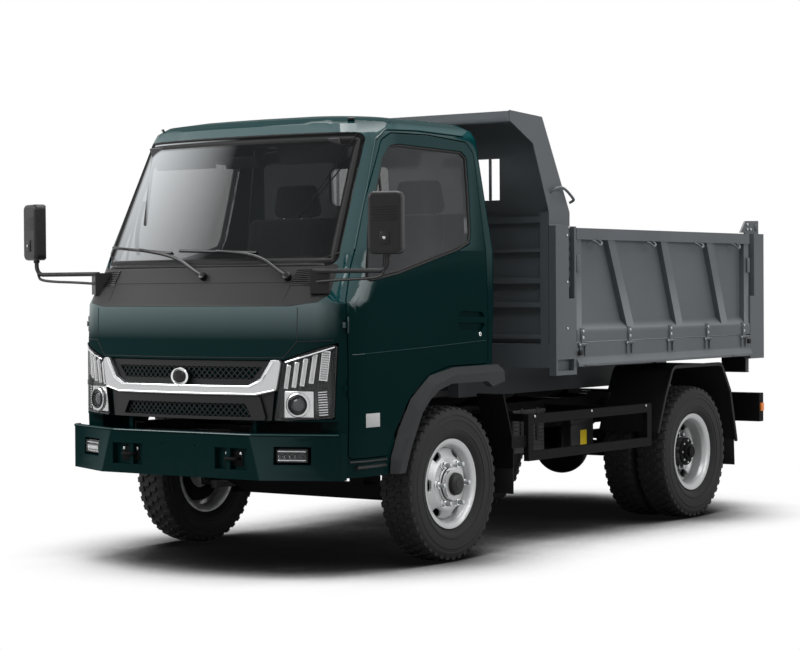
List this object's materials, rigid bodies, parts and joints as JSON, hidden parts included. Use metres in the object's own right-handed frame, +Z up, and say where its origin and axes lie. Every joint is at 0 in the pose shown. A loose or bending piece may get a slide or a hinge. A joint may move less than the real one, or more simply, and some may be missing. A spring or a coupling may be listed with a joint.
{
  "type": "dump truck",
  "caption": "Light forward-control tipping lorry with a tilting cab, drop-side steel bed, cab guard and hydraulic hoist.",
  "frame": {"origin": "on the ground under the centre of the bounding box", "axes": "+Z up, the truck drives towards -Y, its left-hand side is +X"},
  "size_m": [2.4248, 4.532, 2.293],
  "materials": {
    "cab_paint": "gloss dark green",
    "glass": "clear",
    "dark_plastic": "satin",
    "black_plastic": "satin",
    "silver_trim": "satin",
    "lamp_lens": "clear",
    "inner_trim": "matte",
    "seat_cloth": "matte",
    "frame_paint": "dusty satin",
    "engine_metal": "dirty",
    "tyre": "worn",
    "wheel_paint": "satin grey",
    "exhaust_metal": "oxidised",
    "rubber": "matte",
    "bed_paint": "satin slate grey",
    "tail_lens": "clear",
    "rod_chrome": "polished"
  },
  "bodies": {
    "chassis": {"frame_rails": "frame_paint", "front_axle": "frame_paint", "leaf_springs": "frame_paint", "rear_axle": "frame_paint", "engine": "engine_metal", "front_bumper": "cab_paint", "fog_lamps": "lamp_lens", "fuel_tank": "frame_paint", "battery_box": "black_plastic", "exhaust": "exhaust_metal", "side_guards": "frame_paint", "rear_mudguards": "rubber", "rear_bumper": "frame_paint"},
    "cab": {"cab_shell": "cab_paint", "cab_glass": "glass", "cowl_panel": "dark_plastic", "arch_flares": "dark_plastic", "grille": "black_plastic", "grille_bar": "silver_trim", "headlamps": "lamp_lens", "mirrors": "black_plastic", "dashboard": "inner_trim", "seats": "seat_cloth"},
    "left_door": {"door_left": "cab_paint", "door_glass_left": "glass"},
    "right_door": {"door_right": "cab_paint", "door_glass_right": "glass"},
    "left_knuckle": {"knuckle_left": "frame_paint"},
    "right_knuckle": {"knuckle_right": "frame_paint"},
    "track_rod": {"tie_rod": "frame_paint"},
    "front_left_wheel": {"tyre_front_left": "tyre", "rim_front_left": "wheel_paint"},
    "front_right_wheel": {"tyre_front_right": "tyre", "rim_front_right": "wheel_paint"},
    "rear_left_wheels": {"tyre_rear_left": "tyre", "rim_rear_left": "wheel_paint"},
    "rear_right_wheels": {"tyre_rear_right": "tyre", "rim_rear_right": "wheel_paint"},
    "bed": {"bed_floor": "bed_paint", "tail_lamps": "tail_lens", "headboard": "bed_paint", "bed_posts": "bed_paint"},
    "left_gate": {"side_gate_left": "bed_paint"},
    "right_gate": {"side_gate_right": "bed_paint"},
    "rear_gate": {"tailgate": "bed_paint"},
    "hoist_cylinder": {"hoist_barrel": "frame_paint"},
    "hoist_piston": {"hoist_rod": "rod_chrome"}
  },
  "joints": [
    {"name": "cab_tilt", "type": "hinge", "parent": "chassis", "child": "cab", "pos_m": [0, -2.131, 0.7], "axis": [1, 0, 0], "range_deg": [0, 45]},
    {"name": "left_door_swing", "type": "hinge", "parent": "cab", "child": "left_door", "pos_m": [0.836, -1.994, 1.2], "axis": [0, 0, -1], "range_deg": [0, 70]},
    {"name": "right_door_swing", "type": "hinge", "parent": "cab", "child": "right_door", "pos_m": [-0.836, -1.994, 1.2], "axis": [0, 0, 1], "range_deg": [0, 70]},
    {"name": "steer_left", "type": "hinge", "parent": "chassis", "child": "left_knuckle", "pos_m": [0.672, -1.201, 0.39], "axis": [0, 0, 1], "range_deg": [-35, 35]},
    {"name": "steer_right", "type": "hinge", "parent": "chassis", "child": "right_knuckle", "pos_m": [-0.672, -1.201, 0.39], "axis": [0, 0, 1], "range_deg": [-35, 35]},
    {"name": "track_rod_ball", "type": "hinge", "parent": "left_knuckle", "child": "track_rod", "pos_m": [0.672, -1.036, 0.29], "axis": [0, 0, 1], "range_deg": [-35, 35]},
    {"name": "front_left_spin", "type": "hinge", "parent": "left_knuckle", "child": "front_left_wheel", "pos_m": [0.801, -1.201, 0.39], "axis": [1, 0, 0], "continuous": true},
    {"name": "front_right_spin", "type": "hinge", "parent": "right_knuckle", "child": "front_right_wheel", "pos_m": [-0.801, -1.201, 0.39], "axis": [1, 0, 0], "continuous": true},
    {"name": "rear_left_spin", "type": "hinge", "parent": "chassis", "child": "rear_left_wheels", "pos_m": [0.718, 1.306, 0.39], "axis": [1, 0, 0], "continuous": true},
    {"name": "rear_right_spin", "type": "hinge", "parent": "chassis", "child": "rear_right_wheels", "pos_m": [-0.718, 1.306, 0.39], "axis": [1, 0, 0], "continuous": true},
    {"name": "bed_tip", "type": "hinge", "parent": "chassis", "child": "bed", "pos_m": [0, 1.999, 0.76], "axis": [-1, 0, 0], "range_deg": [0, 50]},
    {"name": "left_gate_swing", "type": "hinge", "parent": "bed", "child": "left_gate", "pos_m": [0.954, 0.953, 1.06], "axis": [0, 1, 0], "range_deg": [0, 160]},
    {"name": "right_gate_swing", "type": "hinge", "parent": "bed", "child": "right_gate", "pos_m": [-0.954, 0.953, 1.06], "axis": [0, -1, 0], "range_deg": [0, 160]},
    {"name": "rear_gate_swing", "type": "hinge", "parent": "bed", "child": "rear_gate", "pos_m": [0, 2.141, 1.735], "axis": [1, 0, 0], "range_deg": [0, 80]},
    {"name": "hoist_pivot", "type": "hinge", "parent": "chassis", "child": "hoist_cylinder", "pos_m": [0, 0.149, 0.64], "axis": [1, 0, 0], "range_deg": [0, 19]},
    {"name": "hoist_stroke", "type": "slide", "parent": "hoist_cylinder", "child": "hoist_piston", "axis": [0, 0.9695, 0.2449], "range_m": [0, 0.65]}
  ],
  "couplings": [
    {"joint": "steer_right", "follows": "steer_left", "ratio": 1},
    {"joint": "track_rod_ball", "follows": "steer_left", "ratio": -1},
    {"joint": "hoist_pivot", "follows": "bed_tip", "ratio": 0.37712},
    {"joint": "hoist_stroke", "follows": "bed_tip", "m_per_rad": 0.7408}
  ]
}
